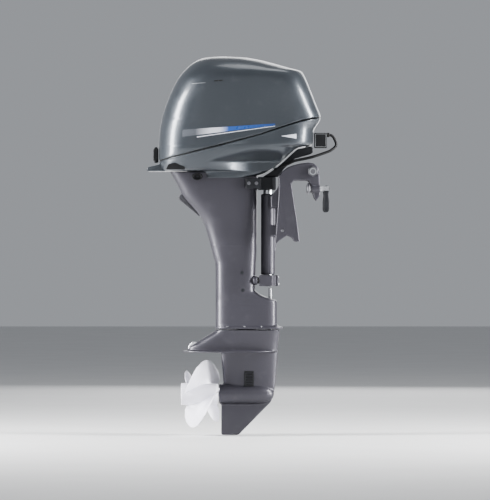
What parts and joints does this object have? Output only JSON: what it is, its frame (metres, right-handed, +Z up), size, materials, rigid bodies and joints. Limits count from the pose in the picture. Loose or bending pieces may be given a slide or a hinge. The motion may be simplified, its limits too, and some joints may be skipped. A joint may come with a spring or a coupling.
{
  "type": "outboard motor",
  "caption": "Long-shaft outboard motor with domed cowls, slim leg, three-blade propeller and clamp brackets that hook over a transom.",
  "frame": {"origin": "transom seat: centre plane of the motor, at the height of the undersides of the clamp hooks", "axes": "+X to the bow, +Y to port, +Z up"},
  "size_m": [0.6079, 0.3502, 1.2056],
  "materials": {
    "cowl_paint": "blue-grey metallic paint",
    "case_paint": "grey metallic paint on cast alloy",
    "dark_plastic": "textured",
    "dark_metal": "black paint on cast alloy",
    "rubber": "moulded",
    "steel": "machined",
    "alloy": "as cast",
    "bronze": "machined",
    "propeller_paint": "gloss white paint on cast alloy",
    "zinc": "cast zinc",
    "cable_sheath": "smooth sheath"
  },
  "bodies": {
    "clamp": {"clamp_bracket_starboard": "case_paint", "clamp_bracket_port": "case_paint", "tilt_tube": "steel", "tilt_nut_starboard": "steel", "tilt_nut_port": "steel"},
    "trim_stop": {"trim_pin": "steel"},
    "lock_lever": {"tilt_lock_lever": "dark_metal"},
    "pad_starboard": {"clamp_pad_starboard": "alloy"},
    "pad_port": {"clamp_pad_port": "alloy"},
    "screw_starboard": {"clamp_screw_starboard": "steel"},
    "screw_port": {"clamp_screw_port": "steel"},
    "handle_starboard": {"clamp_handle_starboard": "dark_metal"},
    "handle_port": {"clamp_handle_port": "dark_metal"},
    "swivel": {"swivel_bracket": "case_paint"},
    "cover": {"top_cowl": "cowl_paint"},
    "latch": {"cowl_latch_lever": "dark_plastic"},
    "crank": {"crankshaft": "steel", "flywheel": "steel", "drive_shaft": "steel", "water_pump_impeller": "rubber", "pinion_gear": "steel"},
    "gear_ahead": {"forward_gear": "steel"},
    "gear_astern": {"reverse_gear": "steel"},
    "clutch": {"dog_clutch": "steel"},
    "prop": {"propeller_shaft": "steel", "thrust_washer": "bronze", "propeller": "propeller_paint", "propeller_nut": "steel"},
    "shift": {"shift_rod": "steel"},
    "motor": {"bottom_cowl": "cowl_paint", "cowl_seal": "rubber", "midsection_casing": "case_paint", "exhaust_outlet": "dark_plastic", "gearcase": "case_paint", "water_intake_starboard": "dark_plastic", "water_intake_port": "dark_plastic", "anode": "zinc", "bearing_carrier": "alloy", "water_pump_housing": "dark_plastic", "water_tube": "alloy", "exhaust_tube": "alloy", "steering_shaft": "steel", "upper_mount_bracket": "dark_metal", "lower_mount_housing": "case_paint", "upper_mount_starboard": "rubber", "upper_mount_port": "rubber", "lower_mount_starboard": "rubber", "lower_mount_port": "rubber", "steering_arm": "dark_metal", "cable_box": "dark_plastic", "control_cable": "cable_sheath", "carrying_grip": "dark_plastic", "engine_holder": "alloy", "oil_pan": "alloy", "cylinder_block": "alloy", "flywheel_cover": "dark_plastic", "cylinder_head": "alloy", "intake_silencer": "dark_plastic", "oil_filter": "dark_metal", "starter_motor": "dark_metal"}
  },
  "joints": [
    {"name": "tilt", "type": "hinge", "parent": "clamp", "child": "swivel", "pos_m": [0.067, 0, 0.028], "axis": [0, 1, 0], "range_deg": [0, 65]},
    {"name": "steer", "type": "hinge", "parent": "swivel", "child": "motor", "pos_m": [-0.075, 0, -0.15], "axis": [0, 0, 1], "range_deg": [-40, 40]},
    {"name": "cowl_lift", "type": "slide", "parent": "motor", "child": "cover", "axis": [0, 0, 1], "range_m": [0, 0.3]},
    {"name": "latch_turn", "type": "hinge", "parent": "motor", "child": "latch", "pos_m": [-0.432, 0, 0.062], "axis": [0, -1, 0], "range_deg": [0, 60]},
    {"name": "crank_spin", "type": "hinge", "parent": "motor", "child": "crank", "pos_m": [-0.145, 0, -0.2], "axis": [0, 0, 1], "continuous": true},
    {"name": "gear_ahead_spin", "type": "hinge", "parent": "motor", "child": "gear_ahead", "pos_m": [-0.128, 0, -0.6805], "axis": [1, 0, 0], "continuous": true},
    {"name": "gear_astern_spin", "type": "hinge", "parent": "motor", "child": "gear_astern", "pos_m": [-0.162, 0, -0.6805], "axis": [1, 0, 0], "continuous": true},
    {"name": "prop_spin", "type": "hinge", "parent": "motor", "child": "prop", "pos_m": [-0.25, 0, -0.6805], "axis": [1, 0, 0], "continuous": true},
    {"name": "clutch_slide", "type": "slide", "parent": "prop", "child": "clutch", "axis": [1, 0, 0], "range_m": [-0.003, 0.003]},
    {"name": "shift_slide", "type": "slide", "parent": "motor", "child": "shift", "axis": [0, 0, 1], "range_m": [-0.003, 0.003]},
    {"name": "trim_pin_slide", "type": "slide", "parent": "clamp", "child": "trim_stop", "axis": [0, 1, 0], "range_m": [0, 0.19]},
    {"name": "lock_lever_turn", "type": "hinge", "parent": "clamp", "child": "lock_lever", "pos_m": [-0.01, 0.085, 0.01], "axis": [0, 1, 0], "range_deg": [-40, 10]},
    {"name": "pad_starboard_slide", "type": "slide", "parent": "clamp", "child": "pad_starboard", "axis": [1, 0, 0], "range_m": [-0.008, 0]},
    {"name": "screw_starboard_turn", "type": "hinge", "parent": "pad_starboard", "child": "screw_starboard", "pos_m": [0.08, -0.077, -0.026], "axis": [1, 0, 0], "range_deg": [-720, 0]},
    {"name": "handle_starboard_fold", "type": "hinge", "parent": "screw_starboard", "child": "handle_starboard", "pos_m": [0.11, -0.077, -0.026], "axis": [0, -1, 0], "range_deg": [0, 90]},
    {"name": "pad_port_slide", "type": "slide", "parent": "clamp", "child": "pad_port", "axis": [1, 0, 0], "range_m": [-0.008, 0]},
    {"name": "screw_port_turn", "type": "hinge", "parent": "pad_port", "child": "screw_port", "pos_m": [0.08, 0.077, -0.026], "axis": [1, 0, 0], "range_deg": [-720, 0]},
    {"name": "handle_port_fold", "type": "hinge", "parent": "screw_port", "child": "handle_port", "pos_m": [0.11, 0.077, -0.026], "axis": [0, -1, 0], "range_deg": [0, 90]}
  ],
  "couplings": [
    {"joint": "gear_ahead_spin", "follows": "crank_spin", "ratio": -0.48148},
    {"joint": "gear_astern_spin", "follows": "crank_spin", "ratio": 0.48148},
    {"joint": "clutch_slide", "follows": "shift_slide", "ratio": 1},
    {"joint": "pad_starboard_slide", "follows": "screw_starboard_turn", "m_per_rad": 0.00063662},
    {"joint": "pad_port_slide", "follows": "screw_port_turn", "m_per_rad": 0.00063662}
  ]
}
